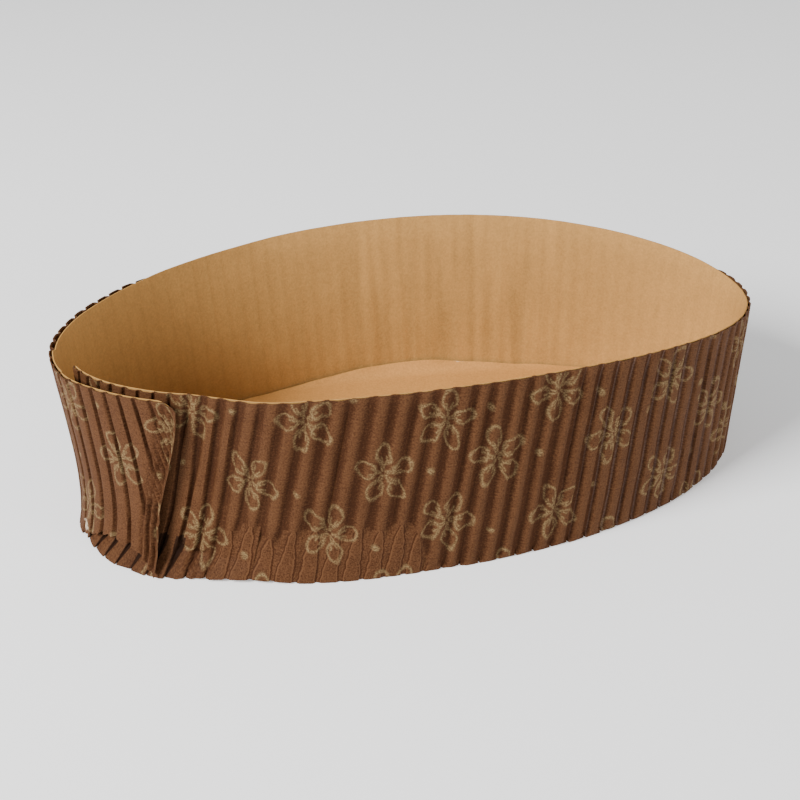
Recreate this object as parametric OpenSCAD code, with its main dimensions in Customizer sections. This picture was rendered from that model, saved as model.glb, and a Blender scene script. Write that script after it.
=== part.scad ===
// Oval baking mold of single-face corrugated paper.
// A strip of smooth liner with fluted paper on its outer face is bent into an
// oval and lapped near the left end. Its lower edge is crushed and folded in,
// and an oval paper floor with a turned-up edge lies on the fold.
// Origin: centre of the footprint, on the table. +X runs along the oval,
// +Y to the back and +Z up.

/* [Oval] */
// Length of the rim, over the flute crests
rim_length = 140; // [110:1:200]
// Width of the rim, over the flute crests
rim_width = 78.4; // [66:0.2:120]
// Height of the rim at the middle of the long sides
rim_height = 39.3; // [28:0.1:60]
// How far the rim drops at the left end
left_dip = 3.3; // [0:0.1:8]
// How far the rim drops at the right end
right_dip = 7; // [0:0.1:8]
// How far each end leans in from the rim down to the fold
end_taper = 2; // [0:0.1:5]
// How far each long side leans in from the rim down to the fold
side_taper = 1.2; // [0:0.1:5]

/* [Corrugated paper] */
// Distance from one flute to the next
flute_pitch = 3.39; // [2.4:0.01:6]
// Height of a flute, from valley to crest
flute_depth = 0.8; // [0.6:0.05:2]
// Thickness of the fluted paper
facing_t = 0.3; // [0.2:0.05:0.5]
// Thickness of the liner
liner_t = 0.35; // [0.2:0.05:0.6]
// Glue line between the flute valleys and the liner
glue_gap = 0.05; // [0.03:0.01:0.1]
// Lean of the flutes near the two ends of the strip, in degrees
flute_lean = 14.5; // [0:0.5:16]

/* [Lap] */
// Distance round the rim from the left end of the oval to the strip's inner end
lap_start = 9.5; // [0:0.5:20]
// Length of strip that laps over itself
lap_length = 27; // [15:0.5:35]
// Clearance between the two layers of the lap
lap_gap = 1.4; // [0.2:0.05:2]
// Length over which the inner layer comes back to the oval beyond the flap
lap_ramp = 20; // [8:0.5:30]
// Height of the flap's cut lower edge
flap_edge_z = 3; // [2.5:0.1:8]

/* [Crushed and folded lower edge] */
// Height of the crushed band above the fold
crush_height = 4; // [2:0.1:4.5]
// Share of the flute height that is left at the fold
crush_share = 0.4; // [0.2:0.05:1]
// Share of the lap's step that is left at the fold
lap_share = 0.3; // [0:0.05:0.5]
// How far the crushed band bulges out beside the lap
bulge_out = 2.2; // [0:0.1:4]
// Distance round the rim from the left end to the middle of the bulge
bulge_at = 48; // [30:1:60]
// Length of the bulge to each side of its middle
bulge_span = 42; // [20:1:45]
// Width of the folded-in flange, from the flute crests
flange_w = 11; // [9:0.5:14]
// Thickness of the crushed flutes in the flange
flange_t = 0.6; // [0.4:0.05:1]

/* [Floor] */
// Thickness of the floor
floor_t = 0.5; // [0.3:0.05:1]
// Clearance between the floor's edge and the wall
floor_gap = 0.4; // [0.3:0.05:1]
// Width of the floor's turned-up edge
lip_w = 3; // [1:0.1:5]
// Height of the floor's turned-up edge
lip_h = 1.6; // [0.5:0.1:2]

/* [Hidden] */

// Insets of the liner's two faces from the flute crests
liner_outer = flute_depth + facing_t + glue_gap;
liner_inner = liner_outer + liner_t;
// How far the inner layer of the lap lies inside the flap
lap_step = liner_inner + lap_gap;
// Inset of the floor's edge, and top of the flange that it lies on
floor_edge = liner_inner + floor_gap;
flange_top = flange_t + liner_t;

// Half axes of the rim
rim_a = rim_length / 2;
rim_b = rim_width / 2;
// Share of the way from the rim to the fold at the top of the crushed band
crush_v = 1 - crush_height / rim_height;
// Height between the flap's last sections
flap_hem = 0.8;
// Width of flange that is left beside the cut that frees the flap
cut_land = 0.2;
// Sections taken along one flute, from valley to valley
flute_samples = 4;
// How sharply the lean fades out at the ends of the strip
lean_fade = 14;
// How sharply the bulge fades out above the fold
bulge_fade = 4;
// Points round the floor and steps in the table of arc lengths
floor_points = 120;
arc_steps = 360;

// A point of an ellipse. 0 is its left end, 90 the middle of its front.
function oval(a, b, t) = [-a * cos(t), -b * sin(t)];
// Length of the rim from its left end up to each angle: [length, angle]
arc_table = [
    for (i = 0, s = 0; i <= arc_steps;
         s = s + norm(oval(rim_a, rim_b, (i + 1) * 360 / arc_steps) - oval(rim_a, rim_b, i * 360 / arc_steps)),
         i = i + 1)
    [s, i * 360 / arc_steps]
];
rim_perimeter = arc_table[arc_steps][0];
strip_length = rim_perimeter + lap_length;
flute_count = round(strip_length / flute_pitch);
column_step = strip_length / (flute_count * flute_samples);
column_count = flute_count * flute_samples + 1;
// A distance round the rim, counted from the left end once more past a turn
function wrapped(s) = s - rim_perimeter * floor(s / rim_perimeter);

// A smooth step from 0 to 1, and a smooth hump that is 1 at 0 and 0 past 1
function ease(x) = let (c = min(max(x, 0), 1)) c * c * (3 - 2 * c);
function hump(x) = 1 - ease(abs(x));
// Sideways run of a flute at the share v of the way down to the fold. The
// flutes are upright at the middle of the strip, at the back of the mold.
function lean_run(u, v) =
    let (q = 2 * u / strip_length - 1)
    v * rim_height * tan(flute_lean) * q * (1 - pow(abs(q), lean_fade));
// How far the inner layer of the lap steps inwards, w along the strip
function lap_inset(w, v) =
    let (share = v > crush_v ? lap_share + (1 - lap_share) * (1 - v) / (1 - crush_v) : 1)
    share * lap_step * (1 - ease((w - lap_length - lap_gap) / lap_ramp));
// How far the crushed band bulges out, s round the rim
function bulge(s, v) = bulge_out * pow(v, bulge_fade) * hump((s - bulge_at) / bulge_span);
// Drop of the rim at c, from -1 at the left end to 1 at the right end
function dip(c) = c * c * ((left_dip + right_dip) / 2 + c * (right_dip - left_dip) / 2);

// A point of the wall, w along the strip at the share v of the way down,
// inset inwards from the flute crests
function wall_point(w, v, inset) =
    let (
        s = wrapped(lap_start + w),
        t = lookup(s, arc_table),
        a = rim_a - end_taper * v,
        b = rim_b - side_taper * v,
        outward = [-cos(t) / a, -sin(t) / b] / norm([-cos(t) / a, -sin(t) / b]),
        xy = oval(a, b, t) + outward * (bulge(s, v) - lap_inset(w, v) - inset)
    )
    [xy[0], xy[1], (rim_height - dip(-cos(t))) * (1 - v)];
// The same for the flute that starts at u on the rim
function flute_point(u, v, inset) = wall_point(u + lean_run(u, v), v, inset);
// A point moved up or down to the height z
function at_height(p, z) = [p[0], p[1], z];
// The share v at which the flute from u has the height z
function v_at(u, z) = 1 - z / flute_point(u, 0, 0)[2];

// One section across a sheet, down its outer face and back up its inner one.
// outer and inner are its insets, low_outer and low_inner those at the fold.
function folded_section(u, outer, inner, low_outer, low_inner, bottom, top) =
    let (edge = flute_point(u, 1, is_flap(u + column_step) ? low_inner + cut_land : flange_w))
    [
        flute_point(u, 0, outer),
        flute_point(u, crush_v, outer),
        at_height(flute_point(u, 1, low_outer), bottom),
        at_height(edge, bottom),
        at_height(edge, top),
        at_height(flute_point(u, 1, low_inner), top),
        flute_point(u, crush_v, inner),
        flute_point(u, 0, inner)
    ];
// The flap isn't folded in: its sections end at its cut lower edge
function flap_section(u, outer, inner) =
    let (levels = [0, v_at(u, flap_edge_z + 2 * flap_hem), v_at(u, flap_edge_z + flap_hem), v_at(u, flap_edge_z)])
    [
        for (v = levels) flute_point(u, v, outer),
        for (i = [3:-1:0]) flute_point(u, levels[i], inner)
    ];
function is_flap(u) = u + lean_run(u, 1) > rim_perimeter - column_step - lap_gap;
// Columns before the cut that frees the flap from the fold
folded_columns = len([for (i = [0:column_count - 1]) if (!is_flap(i * column_step)) i]);

function facing_section(u, crest) =
    let (outer = (1 - crest) * flute_depth, low = outer * crush_share)
    is_flap(u)
        ? flap_section(u, outer, outer + facing_t)
        : folded_section(u, outer, outer + facing_t, low, low + facing_t, 0, flange_t);
function liner_section(u) =
    is_flap(u)
        ? flap_section(u, liner_outer, liner_inner)
        : folded_section(u, liner_outer, liner_inner, liner_outer, liner_inner, flange_t, flange_top);

// Faces of a strip of n sections with eight points each, closed at both ends
function strip_faces(n) = [
    for (j = [0:n - 2], m = [0:7])
        let (k = (m + 1) % 8)
        each [
            [8 * j + m, 8 * (j + 1) + k, 8 * j + k],
            [8 * j + m, 8 * (j + 1) + m, 8 * (j + 1) + k]
        ],
    for (m = [0:2]) each [[m, 6 - m, 7 - m], [m, m + 1, 6 - m]],
    for (m = [0:2])
        let (e = 8 * (n - 1))
        each [[e + m, e + 7 - m, e + 6 - m], [e + m, e + 6 - m, e + m + 1]]
];
module paper_strip(sections) {
    polyhedron(points = [for (s = sections) each s], faces = strip_faces(len(sections)));
}

// Smooth kraft liner, with a section at each flute valley and beside the cut
// that frees the flap
module wall_liner() {
    color([0.78, 0.62, 0.42])
    paper_strip([
        for (i = [0:column_count - 1])
            if (i % flute_samples == 0 || abs(i - folded_columns + 1) < 2)
                liner_section(i * column_step)
    ]);
}

// Printed fluted paper, glued to the liner at its valleys
module fluted_facing() {
    color([0.42, 0.28, 0.18])
    paper_strip([
        for (i = [0:column_count - 1])
            facing_section(i * column_step, (1 - cos(360 * i / flute_samples)) / 2)
    ]);
}

// Oval floor with a turned-up edge, glued on the folded-in flange
module floor_disc() {
    lip_v = 1 - (flange_top + lip_h) / (rim_height - right_dip);
    n = floor_points;
    // Both rings start at the strip's inner end
    flat_ring = [for (i = [0:n - 1]) wall_point(i * rim_perimeter / n, 1, floor_edge + lip_w)];
    lip_ring = [for (i = [0:n - 1]) wall_point(i * rim_perimeter / n, lip_v, floor_edge)];
    color([0.83, 0.68, 0.5])
    polyhedron(
        points = [
            for (p = lip_ring) at_height(p, flange_top + lip_h),
            for (p = flat_ring) at_height(p, flange_top),
            for (p = flat_ring) at_height(p, flange_top + floor_t),
            for (p = lip_ring) at_height(p, flange_top + lip_h + floor_t)
        ],
        faces = [
            [for (i = [0:n - 1]) n + i],
            [for (i = [n - 1:-1:0]) 2 * n + i],
            for (i = [0:n - 1], r = [0, 2, 3])
                let (k = (i + 1) % n, low = r * n, high = (r + 1) % 4 * n)
                each [[low + i, high + k, high + i], [low + i, low + k, high + k]]
        ]
    );
}

wall_liner();
fluted_facing();
floor_disc();
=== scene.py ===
"""Oval paper baking mold: fluted printed wall, kraft lining and paper floor.

Laid out as an add-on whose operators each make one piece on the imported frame.
"""
import math

import bpy
import numpy as np
from bpy.props import FloatProperty, FloatVectorProperty, IntProperty, PointerProperty
from mathutils import Matrix, Vector


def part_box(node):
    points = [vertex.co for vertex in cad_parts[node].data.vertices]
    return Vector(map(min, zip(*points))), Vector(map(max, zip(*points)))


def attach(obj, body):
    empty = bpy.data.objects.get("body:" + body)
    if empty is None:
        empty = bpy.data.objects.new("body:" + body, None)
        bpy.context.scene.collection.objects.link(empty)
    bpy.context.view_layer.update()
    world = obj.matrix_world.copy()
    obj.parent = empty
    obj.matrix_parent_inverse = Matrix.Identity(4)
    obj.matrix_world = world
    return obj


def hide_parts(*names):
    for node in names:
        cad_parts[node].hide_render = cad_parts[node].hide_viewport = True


bl_info = {
    "name": "Oval paper baking mold",
    "version": (1, 0, 0),
    "blender": (4, 5, 0),
    "location": "3D View > Sidebar > Baking mold",
    "description": "Makes an oval baking mold of printed corrugated paper",
    "category": "Add Mesh",
}

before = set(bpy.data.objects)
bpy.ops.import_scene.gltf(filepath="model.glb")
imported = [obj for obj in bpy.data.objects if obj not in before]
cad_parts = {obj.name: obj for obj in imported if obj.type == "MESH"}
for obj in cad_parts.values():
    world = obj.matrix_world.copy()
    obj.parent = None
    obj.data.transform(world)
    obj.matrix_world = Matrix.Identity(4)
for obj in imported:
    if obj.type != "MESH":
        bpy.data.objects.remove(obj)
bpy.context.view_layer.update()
WALL_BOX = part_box("fluted_facing")
MM = 0.001
TURN = 2 * math.pi

# What the wall's meshes keep for the print: sheet coordinates, flute height, flute count, mark
SHEET = "Sheet"
CREST = "crest"
PHASE = "phase"
MARK = "mark"

# Metres of paper to one unit of the sheet coordinates
SHEET_UNIT = 0.1

# Columns and rows of the papers' grids, about ten and eight columns to a flute
FACING_GRID = (1105, 38)
LINER_GRID = (885, 30)

# Sides of the rim's oval, and a length past its whole round
OVAL_STEPS = 720
FAR = 1.0

# Stretches round the rim from its left end: start, end, and how far both fade
UNDER_FLAP = (6 * MM, 33 * MM, 5 * MM)
CURLED_FOOT = (36 * MM, 42 * MM, 5 * MM)
CRUSHED_FRONT = (45 * MM, 79 * MM, 7 * MM)
NARROW_LEFT = (-FAR, 37 * MM, 4 * MM)
NARROW_RIGHT = (128 * MM, 190 * MM, 20 * MM)
NARROW_BACK = (300 * MM, FAR, 30 * MM)
HIDDEN_RIM = (190 * MM, 312 * MM, 12 * MM)
OPEN_RIM = (296 * MM, FAR, 12 * MM)
STREAKED_BACK = (226 * MM, 264 * MM, 12 * MM)

# Swellings round the rim: middle, and length to each side of it
BULGE = (48 * MM, 42 * MM)
FOOT_SWELL = (22 * MM, 34 * MM)
RAISED_FOLD = (47 * MM, 14 * MM)

# How high or deep those and the other small shapes are
FOOT_OUT = 5.2 * MM
FOLD_RAISE = 0.8 * MM
LEAF_LEAST = 0.5 * MM
LEAF_VARIES = 2.4 * MM
TEETH_HIGH = 2.4 * MM
PINCH_REACH = 3.0 * MM
LUMPS_TOP, LUMPS_FADE = 7.5 * MM, 3 * MM

# The wider flutes right of the lap: where they start, over what length, and what they add
WIDE_FROM, WIDE_OVER, WIDENING = 27.5 * MM, 46 * MM, 4.4 * MM

# The strip's ends: their lean, and the flap's cut and lift, the last two in millimetres
UPRIGHT_FROM, UPRIGHT_OVER = 40 * MM, 110 * MM
TAIL_REACH, TAIL_LEAN = 26 * MM, 8 * MM
END_SLANT = 7.5 * MM
CORNER_REACH, CORNER_RAMP = 12.5 * MM, 6.0 * MM
FLAP_RAMP, TUCK_RAMP = 10 * MM, 14 * MM
CORNER_DROP, FLAP_STAND_OFF = 1.8, 0.7

# Places on the printed sheet, in millimetres from its inner end and over its fold
# Stretches of the painted sheen along the grooves, at the right end and at the left end
SHEEN_RIGHT = (112.0, 185.0, 15.0)
SHEEN_LEFT = (296.0, 358.0, 8.0)
TORN_X, TORN_Y = 351.0, 3.0
TEETH_END, TEETH_TOP = 26.0, 7.0

# The pale inside of kraft paper
TORN_KRAFT = (0.76, 0.6, 0.42, 1)

# The floor's paper, its lift off its lowest point, and its grid as shares of the way out
FLOOR_THICK = 0.45 * MM
FLOOR_LIFT = 0.15 * MM
FLOOR_COLUMNS = 360
FLOOR_SHARES = (0.0, 0.2, 0.4, 0.6, 0.8, 0.9, 0.945, 0.965, 0.98, 0.99, 1.0)

# The floor's turned-up edge: its start, its heights, and where along x it is highest
LIP_START = 0.94
LIP_LEAST, LIP_MORE = 0.25 * MM, 2.0 * MM
LIP_MIDDLE, LIP_SPAN = 3 * MM, 28 * MM

TABLE_REACH = 4.0

# Azimuth, elevation and roll in degrees, distance, and the point looked at
CAMERA = (-9.23, 30.55, -2.6, 0.2579, (-0.00269, 0, 0.015))

# The point that the lights face, and the place, size and power of each
LIGHT_TARGET = (0, 0, 0.02)
LIGHTS = {"key": ((-0.74, -0.34, 0.6), 0.4, 22.0), "fill": ((0.9, -0.75, 0.17), 0.5, 12.0)}


def linear(red, green, blue):
    """A colour given as 0 to 255 on the screen, as the shader wants it."""
    parts = [c / 255 for c in (red, green, blue)]
    return tuple(c / 12.92 if c <= 0.04045 else ((c + 0.055) / 1.055) ** 2.4 for c in parts)


def measured(name, description, metres):
    return FloatProperty(name=name, description=description, default=metres, unit="LENGTH",
                         precision=5)


def length(name, description, millimetres):
    return measured(name, description, millimetres * MM)


def colour(name, description, red, green, blue):
    return FloatVectorProperty(name=name, description=description, subtype="COLOR", size=3,
                               min=0, max=1, default=linear(red, green, blue))


class MoldSizes(bpy.types.PropertyGroup):
    """Sizes of the oval and of its lower edge"""

    rim_length: measured("Rim length", "Length of the rim over the flutes",
                         WALL_BOX[1].x - WALL_BOX[0].x)
    rim_width: measured("Rim width", "Width of the rim over the flutes",
                        WALL_BOX[1].y - WALL_BOX[0].y)
    rim_height: measured("Rim height", "Height of the rim at the long sides", WALL_BOX[1].z)
    left_dip: length("Left dip", "How far the rim drops at the left end", 3.3)
    right_dip: length("Right dip", "How far the rim drops at the right end", 7)
    end_taper: length("End taper", "How far each end leans in down to the fold", 2)
    side_taper: length("Side taper", "How far each long side leans in down to the fold", 1.2)
    crush_height: length("Crush height", "Height of the flattened flutes beside the lap", 10.5)
    bulge_out: length("Bulge", "How far the crushed band bulges out", 2.2)
    flange_width: length("Flange", "Width of the folded-in edge", 11)


class PaperSizes(bpy.types.PropertyGroup):
    """Sizes of the corrugated paper and of its lap"""

    flute_pitch: length("Flute pitch", "Distance from one flute to the next", 3.39)
    flute_depth: length("Flute depth", "Height of a flute", 0.8)
    facing_thickness: length("Facing", "Thickness of the fluted paper", 0.22)
    liner_thickness: length("Liner", "Thickness of the smooth liner", 0.2)
    flute_lean: length("Flute lean", "Sideways run of the flutes beside the lap", 11.4)
    lap_start: length("Lap start", "From the left end round to the strip's inner end", 9.5)
    lap_length: length("Lap length", "Length of strip that laps over itself", 29)
    lap_step: length("Lap step", "How far the inner layer lies inside the flap", 2.9)
    lap_ramp: length("Lap ramp", "Length over which the inner layer comes back out", 20)
    flap_edge: length("Flap edge", "Height of the flap's cut lower edge", 4.6)
    seed: IntProperty(name="Seed", description="Picks the dents and creases", default=7)


class PaperColours(bpy.types.PropertyGroup):
    """Colours of the papers and of the print"""

    # Crest and valley are the one brown print: the crest partly lighter from rubbing, the valley
    # darker as painted shade in the grooves
    crest: colour("Crest", "Brown print on the flutes' crests", 86, 56, 34)
    valley: colour("Valley", "Brown print in the flutes' valleys", 54, 29, 13)
    blossom: colour("Blossom", "Pale lines of the printed blossoms", 118, 99, 68)
    torn: colour("Torn", "Pale inside of the paper where it is torn", 168, 150, 128)
    # Painted sheen: a pale grey highlight along the edges of the grooves
    groove_sheen: colour("Sheen", "Grey bloom along the edges of the grooves", 112, 92, 84)
    raw: colour("Raw edge", "Cut edges of the brown paper", 84, 54, 30)
    kraft: colour("Kraft", "The smooth lining", 178, 134, 75)
    floor: colour("Floor", "The paper floor", 194, 140, 76)
    table: colour("Table", "The surface that the mold stands on", 244, 244, 244)


class Wires:
    """Adds nodes to one node tree."""

    def __init__(self, tree):
        self.tree = tree

    def plug(self, node, key, value):
        """Links a term or a socket to a node's input, or sets the input to a plain value."""
        if isinstance(value, Term):
            value = value.socket
        if isinstance(value, bpy.types.NodeSocket):
            self.tree.links.new(value, node.inputs[key])
        else:
            node.inputs[key].default_value = value

    def node(self, kind, settings=None, sockets=None):
        """A node with its settings made first, then its sockets set or linked."""
        made = self.tree.nodes.new(kind)
        for name, value in (settings or {}).items():
            setattr(made, name, value)
        for key, value in (sockets or {}).items():
            self.plug(made, key, value)
        return made

    def maths(self, operation, *values):
        made = self.node("ShaderNodeMath", {"operation": operation}, dict(enumerate(values)))
        return Term(self, made.outputs[0])

    def vector(self, operation, *values):
        made = self.node("ShaderNodeVectorMath", {"operation": operation}, dict(enumerate(values)))
        return Term(self, made.outputs[0])

    def join(self, x, y, z=0.0):
        return Term(self, self.node("ShaderNodeCombineXYZ", None, {0: x, 1: y, 2: z}).outputs[0])

    def split(self, vector):
        made = self.node("ShaderNodeSeparateXYZ", None, {0: vector})
        return [Term(self, out) for out in made.outputs]

    def blend(self, share, low, high):
        """A colour from low to high."""
        made = self.node("ShaderNodeMix", {"data_type": "RGBA"}, {0: share, 6: low, 7: high})
        return Term(self, made.outputs[2])

    def noise(self, place, scale, detail, rough=0.5):
        """Noise about one half. Places with unlike third numbers give unlike noise."""
        made = self.node("ShaderNodeTexNoise", {"noise_dimensions": "3D"},
                         {"Vector": place, "Scale": scale, "Detail": detail, "Roughness": rough})
        return Term(self, made.outputs[0])

    def kept(self, name):
        """The value that the mesh keeps under a name."""
        made = self.node("ShaderNodeAttribute", {"attribute_name": name})
        return Term(self, made.outputs["Fac"])


class Term:
    """A value in a node tree, which Python's operators carry on."""

    def __init__(self, wires, socket):
        self.wires, self.socket = wires, socket

    def __add__(self, other):
        return self.wires.maths("ADD", self, other)

    def __sub__(self, other):
        return self.wires.maths("SUBTRACT", self, other)

    def __mul__(self, other):
        return self.wires.maths("MULTIPLY", self, other)

    def __truediv__(self, other):
        return self.wires.maths("DIVIDE", self, other)

    def __pow__(self, other):
        return self.wires.maths("POWER", self, other)

    def __rsub__(self, other):
        return self.wires.maths("SUBTRACT", other, self)

    def __rtruediv__(self, other):
        return self.wires.maths("DIVIDE", other, self)

    __radd__ = __add__
    __rmul__ = __mul__

    def __abs__(self):
        return self.wires.maths("ABSOLUTE", self)

    def __gt__(self, other):
        return self.wires.maths("GREATER_THAN", self, other)

    def __lt__(self, other):
        return self.wires.maths("LESS_THAN", self, other)

    def at_least(self, other):
        return self.wires.maths("MAXIMUM", self, other)

    def at_most(self, other):
        return self.wires.maths("MINIMUM", self, other)

    def clamp(self):
        """The value held between 0 and 1."""
        return self.at_least(0.0).at_most(1.0)

    def ease(self):
        """A smooth step, 0 at 0 and 1 at 1."""
        c = self.clamp()
        return c * c * (3.0 - 2.0 * c)

    def hump(self, middle, half_length):
        """A smooth hump, 1 at the middle and 0 further off than half_length."""
        return 1.0 - abs((self - middle) / half_length).ease()

    def plateau(self, low, high, soft):
        """1 between low and high, falling off over soft outside them."""
        return ((self - low) / soft + 1.0).ease() * ((high - self) / soft + 1.0).ease()

    def near(self, other, half_width):
        """1 where the value is other, 0 further off than half_width."""
        return 1.0 - (abs(self - other) / half_width).ease()


def mix(share, low, high):
    """A number from low to high."""
    return low + share * (high - low)


def oval_perimeter(half_length, half_width):
    """Length round an oval, as the tree's own curve has it."""
    turn = np.linspace(0, TURN, OVAL_STEPS + 1)
    points = np.stack([half_length * np.cos(turn), half_width * np.sin(turn)], 1)
    return float(np.linalg.norm(np.diff(points, axis=0), axis=1).sum())


def leaf_half_width(leaf_high, height, crumple):
    """Half the width of a flattened flute's leaf, as a share of half a flute."""
    below = ((leaf_high - height) / leaf_high.at_least(0.0001)).clamp()
    return 0.12 + below ** 0.6 * 0.6 + crumple * 0.55


STRIP_INPUTS = dict.fromkeys((
    "Rim length", "Rim width", "Rim height", "Left dip", "Right dip", "End taper", "Side taper",
    "Perimeter", "Flute pitch", "Flute depth", "Lean", "Relief", "Rim pinch", "Set back",
    "Lap start", "Lap length", "Lap step", "Lap ramp", "Flap edge", "Crush height", "Bulge",
    "Flange", "Inset", "Foot", "Thickness", "Buckles"), "Float")
STRIP_INPUTS.update(dict.fromkeys(("Columns", "Rows", "Seed"), "Int"))
STRIP_INPUTS.update(dict.fromkeys(("Face", "Back", "Edge"), "Material"))


def rim_point(w, size, around):
    """The point of the rim's oval at a length round it from its left end."""
    circle = w.node("GeometryNodeCurvePrimitiveCircle", {"mode": "RADIUS"},
                    {"Resolution": OVAL_STEPS, "Radius": 1.0})
    stretch = w.join(size["Rim length"] * -0.5, size["Rim width"] * -0.5, 0.0)
    oval = w.vector("MULTIPLY", w.node("GeometryNodeInputPosition").outputs[0], stretch)
    ring = w.node("GeometryNodeSetPosition", None,
                  {"Geometry": circle.outputs[0], "Position": oval})
    on_ring = w.node("GeometryNodeSampleCurve", {"mode": "LENGTH"},
                     {"Curves": ring.outputs[0], "Length": around})
    x, y, _ = w.split(on_ring.outputs["Position"])
    return x, y


def thicken(w, shell, size):
    """Gives a bent sheet its other face, its cut edges and its papers' materials."""
    back = w.node("GeometryNodeExtrudeMesh", {"mode": "FACES"},
                  {"Mesh": shell, "Offset Scale": size["Thickness"] * -1.0, "Individual": False})
    behind = w.node("GeometryNodeFlipFaces", None, {"Mesh": back.outputs["Mesh"]}).outputs[0]
    both = w.node("GeometryNodeJoinGeometry")
    for part in (shell, behind):
        w.plug(both, 0, part)
    whole = w.node("GeometryNodeMergeByDistance", None,
                   {"Geometry": both.outputs[0], "Distance": 0.01 * MM}).outputs[0]
    whole = w.node("GeometryNodeRealizeInstances", None, {"Geometry": whole}).outputs[0]
    for chosen, paint in ((True, "Face"), (back.outputs["Top"], "Back"),
                          (back.outputs["Side"], "Edge")):
        whole = w.node("GeometryNodeSetMaterial", None, {
            "Geometry": whole, "Selection": chosen, "Material": size[paint]}).outputs[0]
    return whole


def strip_tree():
    """Geometry Nodes that bend a strip of paper round the oval, lap it and fold its foot in."""
    tree = bpy.data.node_groups.new("Paper strip", "GeometryNodeTree")
    tree.is_modifier = True
    for name, kind in STRIP_INPUTS.items():
        tree.interface.new_socket(name=name, in_out="INPUT", socket_type="NodeSocket" + kind)
    tree.interface.new_socket(name="Geometry", in_out="OUTPUT", socket_type="NodeSocketGeometry")
    w = Wires(tree)
    given = w.node("NodeGroupInput")
    size = {name: Term(w, given.outputs[name]) for name in STRIP_INPUTS}

    # Shares: rows that are wall, wall rows that are its upper part, height of that part
    wall_share = 0.84
    upper_rows = 0.36
    upper_share = 0.6

    # Where a point of the flat grid lies: across is along the strip, down is from rim to flange
    grid = w.node("GeometryNodeMeshGrid", None,
                  {"Size X": 1.0, "Size Y": 1.0, "Vertices X": size["Columns"],
                   "Vertices Y": size["Rows"]})
    flat_x, flat_y, _ = w.split(w.node("GeometryNodeInputPosition").outputs[0])
    strip = size["Perimeter"] + size["Lap length"]
    pitch = size["Flute pitch"]
    down = 0.5 - flat_y
    fold = ((down - wall_share) / (1 - wall_share)).at_least(0.0)
    row = (down / wall_share).at_most(1.0)
    level = ((row / upper_rows).at_most(1.0) * upper_share
             + ((row - upper_rows) / (1 - upper_rows)).at_least(0.0) * (1 - upper_share))

    # Columns crowd into the valleys. The flutes are wider just right of the lap.
    spread = flat_x + 0.5 + w.maths("SINE", flat_x * TURN) * (0.3 / TURN)
    even = spread * (strip - WIDENING) / pitch
    cell = w.maths("FLOOR", even)
    own = even + w.maths("SINE", (even - cell - 0.5) * TURN) * (0.5 / TURN)
    wider = ((own * pitch - WIDE_FROM) / WIDE_OVER).ease() * WIDENING
    start = own * pitch + wider

    # The flutes lean towards the lap from both sides
    upright = ((start - UPRIGHT_FROM) / UPRIGHT_OVER).clamp()
    tail = ((start - strip + TAIL_REACH) / TAIL_REACH).at_least(0.0)
    run = size["Lean"] * (upright - 1.0) + tail * tail * TAIL_LEAN

    # The flap starts past one turn, and its corner is drawn down at its slanted end
    lapped = start + run - size["Perimeter"]
    flap = start + run > size["Perimeter"] + 0.2 * MM
    torn = w.noise(w.join(start, 0.0, 3.1), 700.0, 2.0) - 0.5
    cut_in = END_SLANT * ((level + 0.05) / 0.85).ease()
    to_end = (strip - start - run * level).at_least(cut_in)
    edge_level = 1.0 - size["Flap edge"] / (size["Rim height"] - size["Left dip"])
    drawn_down = ((CORNER_REACH - to_end) / CORNER_RAMP).ease()
    new_flap = 1.0 - (lapped / FLAP_RAMP).ease()
    edge_level = mix(drawn_down, edge_level + torn * 0.04 + new_flap * 0.1,
                     1.0 - (1.0 - edge_level) * 0.1)
    level = mix(flap, level, level.at_most(edge_level))
    fold = fold * (1.0 - flap)

    # Along the strip at this level, where the flute starts on the rim, and round the oval
    ragged = w.noise(w.join(level * 0.05, 0.0, 8.3), 700.0, 2.0) - 0.5
    end = strip - cut_in + ragged * 0.5 * MM - size["Set back"]
    free = start + run * level
    along = free.at_least(ragged * 0.4 * MM).at_most(end)
    past = along - strip + TAIL_REACH
    bend = w.maths("SQRT", (TAIL_REACH * TAIL_REACH
                            + 4 * TAIL_LEAN * level * past).at_least(0.0))
    tail_start = strip - TAIL_REACH + 2 * TAIL_REACH * past / (bend + TAIL_REACH)
    head_start = along + size["Lean"] * level
    from_rim = mix(free > end, start, tail_start)
    from_rim = mix(free < along, from_rim, head_start)
    turned = size["Lap start"] + along
    around = turned - size["Perimeter"] * w.maths("FLOOR", turned / size["Perimeter"])
    beyond = around - size["Perimeter"] * (around > size["Perimeter"] * 0.5)

    # A point of the rim and the way out from it
    rim_x, rim_y = rim_point(w, size, around)
    half_a, half_b = size["Rim length"] * 0.5, size["Rim width"] * 0.5
    low_a, low_b = half_a - size["End taper"] * level, half_b - size["Side taper"] * level
    share_x, share_y = rim_x / half_a, rim_y / half_b
    outward = w.vector("NORMALIZE", w.join(share_x / low_a, share_y / low_b, 0.0))
    dip = share_x * share_x * ((size["Left dip"] + size["Right dip"]) * 0.5
                               + share_x * (size["Right dip"] - size["Left dip"]) * 0.5)

    # One flute: across it, its own chances, and its round or flat-topped shape
    turns = (from_rim - wider) / pitch
    flute = w.maths("FLOOR", turns + 0.0001)
    across = turns - flute - 0.5

    def chance(salt):
        made = w.node("FunctionNodeRandomValue", {"data_type": "FLOAT"},
                      {"ID": flute, "Seed": size["Seed"] + float(salt)})
        return Term(w, made.outputs[1])

    sway = w.noise(w.join(along, level * size["Rim height"], 0.0), 90.0, 2.0) - 0.5
    skew = across + sway * 0.1
    round_crest = 0.5 + 0.5 * w.maths("COSINE", skew * TURN)
    height = (size["Rim height"] - dip) * (1.0 - level)
    hidden_rim = around.plateau(*HIDDEN_RIM)
    rim_drop = mix(size["Relief"], (1.0 - hidden_rim) * 0.22, chance(1) * 0.25 + hidden_rim * 0.7)
    height = height - (1.0 - level) * (rim_drop + flap * 0.45) * MM

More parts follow.
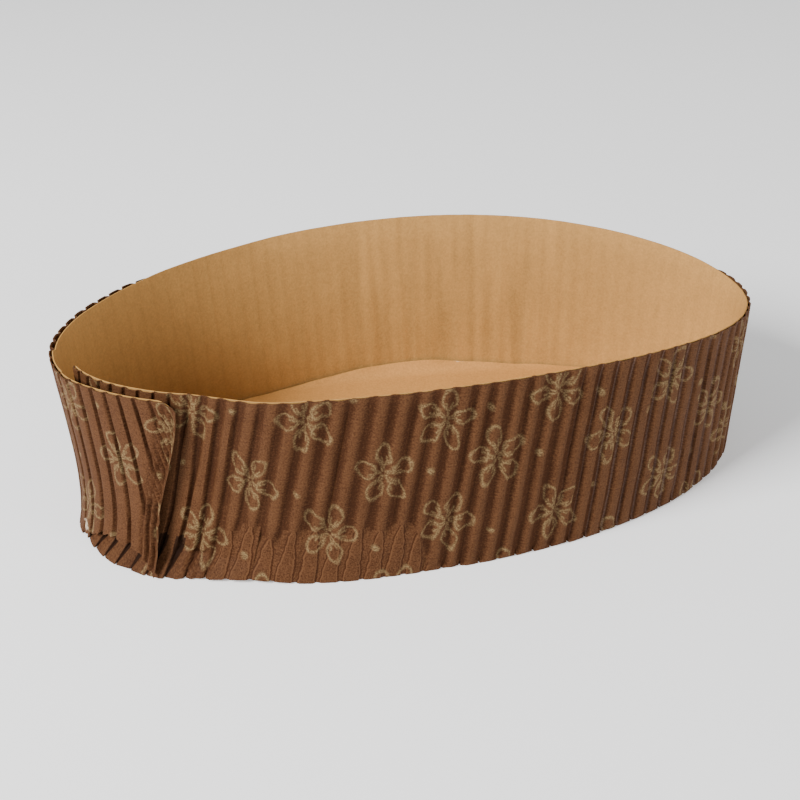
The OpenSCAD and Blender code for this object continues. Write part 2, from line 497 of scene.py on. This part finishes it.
    # Flattened flutes: each crest ends in a leaf-shaped facet above the fold
    front = around.plateau(*CRUSHED_FRONT) * (1.0 - flap)
    beside = around.plateau(*CURLED_FOOT) * (1.0 - front)
    teeth = around.plateau(*UNDER_FLAP)
    leaf_varies = (chance(2) - 0.5) * LEAF_VARIES
    leaf_high = (LEAF_LEAST + front * (size["Crush height"] - LEAF_LEAST + leaf_varies)
                 + beside * (2.5 + chance(3) * 3.0) * MM + teeth * TEETH_HIGH)
    side = abs(across * 2.0)
    leaf = leaf_high + sway * 0.8 * MM
    pinch = ((leaf_high + PINCH_REACH - height) / PINCH_REACH).ease() * front
    narrow = around.plateau(*NARROW_LEFT).at_least(around.plateau(*NARROW_BACK))
    narrow = narrow.at_least(around.plateau(*NARROW_RIGHT) * 0.6)
    at_rim = ((0.09 - level) / 0.09).ease() * (1.0 - around.plateau(*OPEN_RIM))
    low = mix(pinch, mix(narrow, 0.12, 0.0), 0.3)
    top = mix(pinch, mix(narrow, 0.8, 0.2) * (0.85 + 0.3 * chance(7)), 0.97)
    crest = ((round_crest - low) / (top - low)).ease() * (0.9 + 0.1 * round_crest)
    crumple = w.noise(w.join(along, height, 2.0), 420.0, 3.0) - 0.5
    leaf_half = leaf_half_width(leaf_high, height, crumple)
    in_leaf = 1.0 - ((side - leaf_half) / 0.14).ease()
    softness = mix(front * (1.0 - in_leaf), 0.5, 2.6) * MM
    flat = ((leaf - height) / softness).ease() * (1.0 - flap)
    tilt = (chance(4) - 0.5) * (0.6 + teeth * 1.2)
    slit = 0.9 - 0.4 * (height / (5 * MM)).at_most(1.0)
    leaf_facet = mix(in_leaf, 0.62 - chance(5) * 0.15, 0.9)
    tooth_facet = 0.95 - chance(5) * 0.4 - 1.1 * ((side - slit) / 0.14).ease()
    facet = mix(front, tooth_facet, leaf_facet) + across * tilt
    crest = mix(flat, crest, facet + crumple * 0.4).at_least(-0.05)

    # The flap's cut edge is pressed and pleated
    from_edge = (end - along) / MM
    pressed = flap * (1.0 - ((from_edge - 2.6) / 1.8).ease())
    pleats = 0.4 + 0.5 * w.maths("COSINE", from_edge * 4.4 + sway * 5.0) + crumple * 0.6
    crest = mix(pressed, crest, pleats)

    # How far in from the outermost crest: the lap's step, less what bulges, plus the dents
    share = mix(((level - 0.9) / 0.1).ease(), 1.0, 0.3)
    stepped = share * size["Lap step"] * (
        1.0 - ((along - size["Lap length"]) / size["Lap ramp"]).ease())
    bulge = size["Bulge"] * level ** 4.0 * around.hump(*BULGE)
    foot_out = FOOT_OUT * level ** 5.0 * beyond.hump(*FOOT_SWELL)
    lifted = flap * (1.0 - (from_edge / 11.0).at_least(0.0).ease()) * FLAP_STAND_OFF * MM * level
    tucked = flap * FLAP_STAND_OFF * MM * (1.0 - level) * (lapped / TUCK_RAMP).ease()
    streaks = w.noise(w.join(from_rim, level * 3 * MM, 5.0), 330.0, 1.0) - 0.5
    streaks = streaks * (around.plateau(*STREAKED_BACK) * 0.9 + 0.1)
    wall_wave = sway * 0.3 * MM + size["Buckles"] * streaks
    lumps = 0.35 - abs(w.noise(w.join(along, height, 7.0), 300.0, 2.0) - 0.5) * 3.0
    lumps = mix(size["Relief"], lumps.at_least(0.0) + 0.4, lumps)
    lumps = lumps * beside * ((LUMPS_TOP - height) / LUMPS_FADE).ease() * 1.8 * MM
    raised = FOLD_RAISE * around.hump(*RAISED_FOLD) * (1.0 - fold * 2.5).at_least(0.0)
    raised = raised * ((level - 0.85) / 0.15).ease() * (1.0 - flap)
    slack = 1.0 + (chance(6) - 0.5) * 0.3
    inset = (size["Inset"] + stepped - bulge - foot_out - lifted + tucked + wall_wave + lumps
             + (1.0 - crest) * size["Flute depth"] * slack * (1.0 - at_rim * 0.55)
             - at_rim * size["Rim pinch"] + fold * size["Flange"])
    corner = (1.0 - from_edge / 3.2).at_least(0.0) ** 2.0 * flap
    height = height - corner * CORNER_DROP * MM * (1.0 - level)
    arch = (1.0 - crest.clamp()) * 0.15 * size["Flute depth"]
    height = height + arch * ((level - 0.94) / 0.06).ease() * (1.0 - fold)
    height = height.at_least(size["Foot"]) + raised
    plan = w.vector("SUBTRACT",
                    w.join(share_x * low_a, share_y * low_b, 0.0),
                    w.node("ShaderNodeVectorMath", {"operation": "SCALE"},
                           {0: outward, "Scale": inset}).outputs[0])
    plan_x, plan_y, _ = w.split(plan)
    place = w.join(plan_x, plan_y, height)

    # Keep what the materials need, bend the sheet, and close what was cut away
    upward = size["Rim height"] * (1.0 - level) - fold * size["Flange"]
    sheet = w.join(along / SHEET_UNIT, upward / SHEET_UNIT)
    # The mark is how streaked the lining is, painted on it as light and shade, and on the printed
    # paper how high a leaf is
    mark = mix(size["Relief"], streaks, leaf_high * front / MM)
    shell = grid.outputs[0]
    for name, kind, domain, value in ((SHEET, "FLOAT2", "CORNER", sheet),
                                      (CREST, "FLOAT", "POINT", crest),
                                      (PHASE, "FLOAT", "POINT", turns + sway * 0.1),
                                      (MARK, "FLOAT", "POINT", mark)):
        shell = w.node("GeometryNodeStoreNamedAttribute", {"data_type": kind, "domain": domain},
                       {"Geometry": shell, "Name": name, "Value": value}).outputs[0]
    shell = w.node("GeometryNodeSetPosition", None,
                   {"Geometry": shell, "Position": place}).outputs[0]
    shell = w.node("GeometryNodeMergeByDistance", None,
                   {"Geometry": shell, "Distance": 0.02 * MM}).outputs[0]
    w.plug(w.node("NodeGroupOutput"), 0, thicken(w, shell, size))
    return tree


def bake_strip(name, values):
    """Runs the strip's tree on the given inputs and returns it as a plain mesh object."""
    tree = bpy.data.node_groups.get("Paper strip") or strip_tree()
    holder = bpy.data.objects.new(name, bpy.data.meshes.new(name))
    bpy.context.scene.collection.objects.link(holder)
    modifier = holder.modifiers.new("Strip", "NODES")
    modifier.node_group = tree
    for item in tree.interface.items_tree:
        if item.in_out == "INPUT":
            modifier[item.identifier] = values[item.name]
    bpy.context.view_layer.update()
    graph = bpy.context.evaluated_depsgraph_get()
    mesh = bpy.data.meshes.new_from_object(holder.evaluated_get(graph), depsgraph=graph)
    holder.modifiers.remove(modifier)
    bpy.data.objects.remove(holder)
    if not mesh.polygons:
        raise RuntimeError(name + " came out empty")
    mesh.name = name
    mesh.shade_smooth()
    mesh.set_sharp_from_angle(angle=math.radians(50))
    piece = bpy.data.objects.new(name, mesh)
    bpy.context.scene.collection.objects.link(piece)
    return piece


def strip_values(scene, own):
    """The sizes that both papers of the wall share and a paper's own, by the inputs' names."""
    mold, paper = scene.mold_sizes, scene.paper_sizes
    return {
        "Rim length": mold.rim_length, "Rim width": mold.rim_width, "Rim height": mold.rim_height,
        "Left dip": mold.left_dip, "Right dip": mold.right_dip, "End taper": mold.end_taper,
        "Side taper": mold.side_taper, "Crush height": mold.crush_height,
        "Bulge": mold.bulge_out, "Flange": mold.flange_width,
        "Perimeter": oval_perimeter(mold.rim_length / 2, mold.rim_width / 2),
        "Flute pitch": paper.flute_pitch, "Lean": paper.flute_lean,
        "Lap start": paper.lap_start, "Lap length": paper.lap_length,
        "Lap step": paper.lap_step, "Lap ramp": paper.lap_ramp, "Flap edge": paper.flap_edge,
        "Seed": paper.seed, **own,
    }


def new_material(name):
    """An empty node material, its wires, and its main shader."""
    material = bpy.data.materials.new(name)
    material.use_nodes = True
    material.node_tree.nodes.clear()
    w = Wires(material.node_tree)
    shader = w.node("ShaderNodeBsdfPrincipled")
    w.node("ShaderNodeOutputMaterial", None, {0: shader.outputs[0]})
    return material, w, shader


def finish_paper(w, shader, base, roughness, grain, bump_distance, gloss=0.2):
    """Plugs a paper's colour, roughness and surface grain into its shader."""
    bump = w.node("ShaderNodeBump", None,
                  {"Strength": 1.0, "Distance": bump_distance, "Height": grain})
    for key, value in (("Base Color", base), ("Roughness", roughness),
                       ("Normal", bump.outputs[0]), ("Specular IOR Level", gloss)):
        w.plug(shader, key, value)


def line_blossom(w, x, y, turn):
    """Lines of one printed five-petal blossom round the origin, x and y in millimetres."""
    wide_x = x * 1.25
    inside = w.maths("SQRT", wide_x * wide_x + y * y)
    fifth = TURN / 5
    part = w.maths("WRAP", w.maths("ARCTAN2", y, wide_x) + turn, fifth / 2, -fifth / 2)
    out, aside = inside * w.maths("COSINE", part), abs(inside * w.maths("SINE", part))
    petal_middle, half_out, half_aside, line_width = 4.2, 2.2, 1.55, 0.62
    reach_out, reach_aside = (out - petal_middle) / half_out, aside / half_aside
    reach = w.maths("SQRT", reach_out * reach_out + reach_aside * reach_aside)
    petals = reach.near(1.0, 2.0 * line_width / (half_out + half_aside))
    veins = abs(aside - out * 0.2).near(0.0, 0.42) * out.plateau(0.6, 3.4, 0.5)
    return petals.at_least(veins)


def blossom_print(w, x, y):
    """Blossoms and dots scattered over the sheet in two staggered lattices."""
    step_x, step_y = 23.0, 25.0
    lines = None
    for salt, shift_x, shift_y in ((11.0, 4.0, 3.0), (23.0, 15.5, 15.5)):
        column = w.maths("FLOOR", (x + shift_x) / step_x)
        row = w.maths("FLOOR", (y + shift_y) / step_y)
        cell = w.node("ShaderNodeTexWhiteNoise", {"noise_dimensions": "3D"},
                      {"Vector": w.join(column, row, salt)})
        luck_x, luck_y, luck_turn = w.split(cell.outputs["Color"])
        mid_x = x + shift_x - (column + 0.5) * step_x - (luck_x - 0.5) * 4.0
        mid_y = y + shift_y - (row + 0.5) * step_y - (luck_y - 0.5) * 4.0
        drawn = line_blossom(w, mid_x, mid_y, luck_turn * 2.0)
        dot_x, dot_y = mid_x - 8.4, mid_y - (luck_turn - 0.5) * 8.0
        dot = w.maths("SQRT", dot_x * dot_x + dot_y * dot_y).near(0.0, 1.1)
        drawn = drawn.at_least((dot * 1.6).at_most(1.0))
        lines = drawn if lines is None else lines.at_least(drawn)
    return lines


def printed_paper(colours):
    """Brown printed paper with pale blossoms, creased, with painted shade in its valleys and a
    painted sheen along its grooves.
    """
    material, w, shader = new_material("Printed flute paper")
    leaf = w.kept(MARK)
    u, v, _ = w.split(w.node("ShaderNodeUVMap", {"uv_map": SHEET}).outputs[0])
    x, y = u * (SHEET_UNIT / MM), v * (SHEET_UNIT / MM)
    spot = w.join(x, y, 0.0)
    speckle = w.noise(spot, 3.0, 2.0, 0.7)
    cloud = w.noise(spot, 0.16, 3.0, 0.6)
    fibre = w.noise(w.join(x * 0.6, y * 2.0, 4.0), 1.3, 3.0, 0.65)
    lit = w.kept(CREST).clamp()
    grain = (cloud - 0.5) * 0.6 + (speckle - 0.5) * 2.7 + (fibre - 0.5) * 0.9

    # Creases round the flattened flutes and thin wrinkles, a painted highlight on the fold and
    # painted shade beside it
    across = w.maths("FRACT", w.kept(PHASE)) - 0.5
    side = abs(across) * 2.0
    crumple = w.noise(w.join(x, y, 2000.0), 0.42, 3.0) - 0.5
    leaf_half = leaf_half_width(leaf, y, crumple)
    crushed = ((leaf - y + 0.4) / 0.4).ease() * (leaf > 3.0)
    crease_light_and_shade = side.near(leaf_half, 0.09) * 0.9 - side.near(leaf_half + 0.14, 0.1) * 0.9
    wrinkle = w.noise(w.join(x * 1.3, y * 0.6, 31.0), 0.9, 2.0)
    crease_light_and_shade = crease_light_and_shade + wrinkle.near(0.5, 0.02) * 0.5 - wrinkle.near(0.54, 0.02) * 0.5
    # Painted shade and light: darker in the valleys and lighter on the crests by the flute's
    # height, evener where the flutes are crushed
    tone = mix(crushed * 0.9, lit, 0.8) * 0.6 + 0.05 + grain + crushed * crease_light_and_shade
    base = w.blend(tone.clamp(), (*colours.valley, 1), (*colours.crest, 1))

    # The print, its lines wavering and broken by the paper's grain
    wobble_x = w.noise(w.join(x, y, 9.0), 0.32, 1.0) - 0.5
    wobble_y = w.noise(w.join(x, y, 17.0), 0.32, 1.0) - 0.5
    lines = blossom_print(w, x + wobble_x * 1.6, y + wobble_y * 1.6)
    # The print fades in the valleys as painted shade
    inked = lines * (0.6 + 0.3 * lit) * (0.2 + 0.85 * ((speckle - 0.36) * 3.6).ease())
    base = w.blend(inked.at_most(0.9), base, (*colours.blossom, 1))

    # Painted shade in the slits between the teeth, a painted sheen along the grooves, and a torn
    # spot
    slit = 0.86 - 0.5 * (y / 5.0).at_most(1.0)
    slit_shade = ((side - slit) / 0.12).ease() * (x < TEETH_END) * (y < TEETH_TOP) * (y > -0.5)
    base = w.blend(slit_shade * 0.85, base, (*(c * 0.25 for c in colours.valley), 1))
    # Painted sheen along one edge of each groove
    groove_sheen = across.near(-0.4, 0.07) * (x.plateau(*SHEEN_RIGHT) + x.plateau(*SHEEN_LEFT))
    base = w.blend(groove_sheen * speckle * 0.7, base, (*colours.groove_sheen, 1))
    torn = x.near(TORN_X, 3.2) * y.near(TORN_Y, 2.0) + (fibre - 0.5) * 1.2
    base = w.blend(((torn - 0.5) * 5.0).ease() * 0.85, base, (*colours.torn, 1))
    finish_paper(w, shader, base, 0.7 + (speckle - 0.5) * 0.2,
                 speckle + fibre * 0.5 + lines * 0.2, 0.07 * MM, gloss=0.07)
    return material


def plain_paper(name, hue, mottle=0.5, ribs=0.0, torn_at=None):
    """Unprinted kraft paper with fibres and clouds, and where asked painted light and shade of the
    flutes and buckles behind it.
    """
    material, w, shader = new_material(name)
    place = w.node("ShaderNodeTexCoord").outputs["Object"]
    millimetres = w.vector("MULTIPLY", place, w.join(1000.0, 1000.0, 1000.0))
    speckle = w.noise(millimetres, 2.0, 2.0, 0.65)
    cloud = w.noise(millimetres, 0.13, 4.0, 0.6)
    patch = w.noise(millimetres, 0.7, 3.0, 0.6)
    tone = (speckle - 0.5) * 1.1 + (cloud - 0.5) * mottle + (patch - 0.5) * 0.4 + 0.5
    if ribs:
        # Painted light and shade: lighter on the crests of the flutes behind the lining, and
        # streaked lighter and darker along its buckles
        tone = tone + (w.kept(CREST) - 0.5) * ribs + w.kept(MARK) * 1.3
    dark = tuple(c * 0.74 for c in hue)
    pale = tuple(min(1.0, c * 1.18) for c in hue)
    base = w.blend(tone.clamp(), (*dark, 1), (*pale, 1))
    if torn_at:
        x, y, _ = w.split(millimetres)
        torn = x.near(torn_at[0], 8.0) * y.near(torn_at[1], 1.3) + (patch - 0.5) * 1.6
        base = w.blend(((torn - 0.6) * 5.0).ease() * 0.45, base, TORN_KRAFT)
    finish_paper(w, shader, base, 0.82 + (speckle - 0.5) * 0.15, speckle + patch * 0.5, 0.05 * MM)
    return material


def paper_of(name, hue, **more):
    """The plain paper of that name, made the first time it is wanted."""
    return bpy.data.materials.get(name) or plain_paper(name, hue, **more)


def settle(piece, node):
    """Puts a finished piece in the place of its solid."""
    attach(piece, "root")
    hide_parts(node)
    return {"FINISHED"}


class MOLD_OT_facing(bpy.types.Operator):
    """Make the printed fluted paper of the wall"""

    bl_idname = "mold.facing"
    bl_label = "Printed flutes"

    def execute(self, context):
        scene = context.scene
        colours, paper = scene.paper_colours, scene.paper_sizes
        raw = paper_of("Raw brown paper", colours.raw)
        values = strip_values(scene, {
            "Inset": 0.0, "Foot": 0.0, "Thickness": paper.facing_thickness, "Buckles": 0.0,
            "Flute depth": paper.flute_depth, "Rim pinch": 0.0, "Set back": 0.0, "Relief": 1.0,
            "Columns": FACING_GRID[0], "Rows": FACING_GRID[1],
            "Face": printed_paper(colours), "Back": raw, "Edge": raw})
        return settle(bake_strip("printed_flutes", values), "fluted_facing")


class MOLD_OT_liner(bpy.types.Operator):
    """Make the smooth kraft lining of the wall"""

    bl_idname = "mold.liner"
    bl_label = "Kraft lining"

    def execute(self, context):
        scene = context.scene
        paper = scene.paper_sizes
        # The lining paints light and shade of the flutes behind it
        kraft = paper_of("Kraft lining", scene.paper_colours.kraft, ribs=0.1)
        glue = 0.06 * MM
        values = strip_values(scene, {
            "Inset": paper.flute_depth + paper.facing_thickness + glue, "Foot": 0.62 * MM,
            "Thickness": paper.liner_thickness, "Buckles": 0.4 * MM, "Flute depth": 0.03 * MM,
            "Rim pinch": 0.55 * paper.flute_depth, "Set back": 0.6 * MM, "Relief": 0.0,
            "Columns": LINER_GRID[0], "Rows": LINER_GRID[1],
            "Face": kraft, "Back": kraft, "Edge": kraft})
        return settle(bake_strip("kraft_wall", values), "wall_liner")


def floor_loops(low, high, seed):
    """Rings of the floor's points: its underside from the middle out, and its top back in."""
    turn = np.arange(FLOOR_COLUMNS) * TURN / FLOOR_COLUMNS
    chance = np.random.default_rng(seed)
    wave = sum(chance.normal() * np.cos(k * turn + chance.uniform(0, 7)) / k ** 0.7
               for k in range(3, 60))
    wave /= np.abs(wave).max()
    half_a, half_b = (high.x - low.x) / 2, (high.y - low.y) / 2
    middle_x, middle_y = (high.x + low.x) / 2, (high.y + low.y) / 2
    tops = []
    for share in FLOOR_SHARES:
        up = np.clip((share - LIP_START) / (1 - LIP_START), 0, 1) ** 1.5
        sag = 0.25 * MM * np.cos(2 * turn + 0.5) * share ** 2 * (1 - up)
        x = middle_x - (half_a * share - 0.25 * MM * wave * up) * np.cos(turn)
        y = middle_y - (half_b * share - 0.25 * MM * wave * up) * np.sin(turn)
        far = np.clip(np.abs(x - LIP_MIDDLE) / LIP_SPAN, 0, 1)
        lip = LIP_LEAST + LIP_MORE * (1 - far * far * (3 - 2 * far))
        z = low.z + FLOOR_THICK + FLOOR_LIFT + sag + up * (lip + 0.35 * MM * wave)
        tops.append(np.stack([x, y, z], 1))
    return [ring - [0, 0, FLOOR_THICK] for ring in tops[1:]] + tops[::-1][:-1]


def floor_mesh(loops, low_z):
    """Closes the rings to a thin disc with a point in the middle of each face."""
    first, last = (loop.mean(0) * [1, 1, 0] for loop in (loops[0], loops[-1]))
    points = [first + [0, 0, low_z + FLOOR_LIFT]]
    for loop in loops:
        points.extend(loop)
    points.append(last + [0, 0, low_z + FLOOR_THICK + FLOOR_LIFT])
    faces = []
    final = 1 + (len(loops) - 1) * FLOOR_COLUMNS
    for i in range(FLOOR_COLUMNS):
        k = (i + 1) % FLOOR_COLUMNS
        faces.append((0, 1 + k, 1 + i))
        for r in range(len(loops) - 1):
            a, b = 1 + r * FLOOR_COLUMNS, 1 + (r + 1) * FLOOR_COLUMNS
            faces.append((a + i, a + k, b + k, b + i))
        faces.append((final + i, final + k, len(points) - 1))
    mesh = bpy.data.meshes.new("paper_floor")
    mesh.from_pydata([tuple(p) for p in points], [], faces)
    return mesh


class MOLD_OT_floor(bpy.types.Operator):
    """Make the oval paper floor with its turned-up edge"""

    bl_idname = "mold.floor"
    bl_label = "Paper floor"

    def execute(self, context):
        scene = context.scene
        low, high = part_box("floor_disc")
        mesh = floor_mesh(floor_loops(low, high, scene.paper_sizes.seed), low.z)
        torn_at = (20.0, (high.y - 0.9 * MM) / MM)
        mesh.materials.append(paper_of("Floor paper", scene.paper_colours.floor, mottle=0.35,
                                       torn_at=torn_at))
        mesh.shade_smooth()
        mesh.set_sharp_from_angle(angle=math.radians(40))
        piece = bpy.data.objects.new("paper_floor", mesh)
        scene.collection.objects.link(piece)
        return settle(piece, "floor_disc")


def camera_matrix(azimuth, elevation, roll, distance, target):
    """Where the camera stands, from the direction that it is turned to."""
    a, e, r = (math.radians(angle) for angle in (azimuth, elevation, roll))
    back = Vector((math.sin(a) * math.cos(e), -math.cos(a) * math.cos(e), math.sin(e)))
    right = Vector((0, 0, 1)).cross(back).normalized()
    up = back.cross(right)
    turned_right = right * math.cos(r) + up * math.sin(r)
    turned_up = up * math.cos(r) - right * math.sin(r)
    matrix = Matrix((turned_right, turned_up, back)).transposed().to_4x4()
    matrix.translation = Vector(target) + back * distance
    return matrix


def soft_light(scene, name, place, size, power):
    """A square area light that faces the mold."""
    data = bpy.data.lights.new(name, "AREA")
    data.size, data.energy = size, power
    light = bpy.data.objects.new(name, data)
    light.location = place
    way = Vector(LIGHT_TARGET) - Vector(place)
    light.rotation_euler = way.to_track_quat("-Z", "Y").to_euler()
    scene.collection.objects.link(light)


class MOLD_OT_stage(bpy.types.Operator):
    """Make the table, the lights and the camera"""

    bl_idname = "mold.stage"
    bl_label = "Table, lights and camera"

    def execute(self, context):
        scene = context.scene
        mesh = bpy.data.meshes.new("table")
        corners = [(x * TABLE_REACH, y * TABLE_REACH, 0)
                   for x, y in ((-1, -1), (1, -1), (1, 1), (-1, 1))]
        mesh.from_pydata(corners, [], [(0, 1, 2, 3)])
        material, w, shader = new_material("Pale table")
        for key, value in (("Base Color", (*scene.paper_colours.table, 1)), ("Roughness", 0.9),
                           ("Emission Color", (1, 1, 1, 1)), ("Emission Strength", 0.3)):
            w.plug(shader, key, value)
        mesh.materials.append(material)
        table = bpy.data.objects.new("table", mesh)
        scene.collection.objects.link(table)

        lens = bpy.data.cameras.new("camera")
        lens.sensor_width, lens.lens = 36.0, 56.25
        lens.clip_start, lens.clip_end = 0.01, 20
        camera = bpy.data.objects.new("camera", lens)
        camera.matrix_world = camera_matrix(*CAMERA)
        scene.collection.objects.link(camera)
        scene.camera = camera

        for name, (place, size, power) in LIGHTS.items():
            soft_light(scene, name, place, size, power)
        world = bpy.data.worlds.new("Studio")
        world.use_nodes = True
        sky = world.node_tree.nodes["Background"]
        sky.inputs[0].default_value = (1, 1, 1, 1)
        sky.inputs[1].default_value = 0.4
        scene.world = world
        return {"FINISHED"}


class MOLD_PT_panel(bpy.types.Panel):
    """The mold's sizes and pieces in the sidebar"""

    bl_idname = "MOLD_PT_panel"
    bl_label = "Paper baking mold"
    bl_space_type = "VIEW_3D"
    bl_region_type = "UI"
    bl_category = "Baking mold"

    def draw(self, context):
        layout = self.layout
        for group in GROUPS:
            settings = getattr(context.scene, group)
            box = layout.box()
            for name in settings.bl_rna.properties.keys():
                if name not in ("rna_type", "name"):
                    box.prop(settings, name)
        for operator in OPERATORS:
            layout.operator(operator.bl_idname)


GROUPS = {"mold_sizes": MoldSizes, "paper_sizes": PaperSizes, "paper_colours": PaperColours}
OPERATORS = (MOLD_OT_stage, MOLD_OT_liner, MOLD_OT_facing, MOLD_OT_floor)


def register():
    for kind in (*GROUPS.values(), *OPERATORS, MOLD_PT_panel):
        bpy.utils.register_class(kind)
    for name, kind in GROUPS.items():
        setattr(bpy.types.Scene, name, PointerProperty(type=kind))


def unregister():
    for name in GROUPS:
        delattr(bpy.types.Scene, name)
    for kind in (MOLD_PT_panel, *reversed(OPERATORS), *reversed(list(GROUPS.values()))):
        bpy.utils.unregister_class(kind)


def main():
    register()
    bpy.ops.mold.stage()
    bpy.ops.mold.liner()
    bpy.ops.mold.facing()
    bpy.ops.mold.floor()


if __name__ == "__main__":
    main()
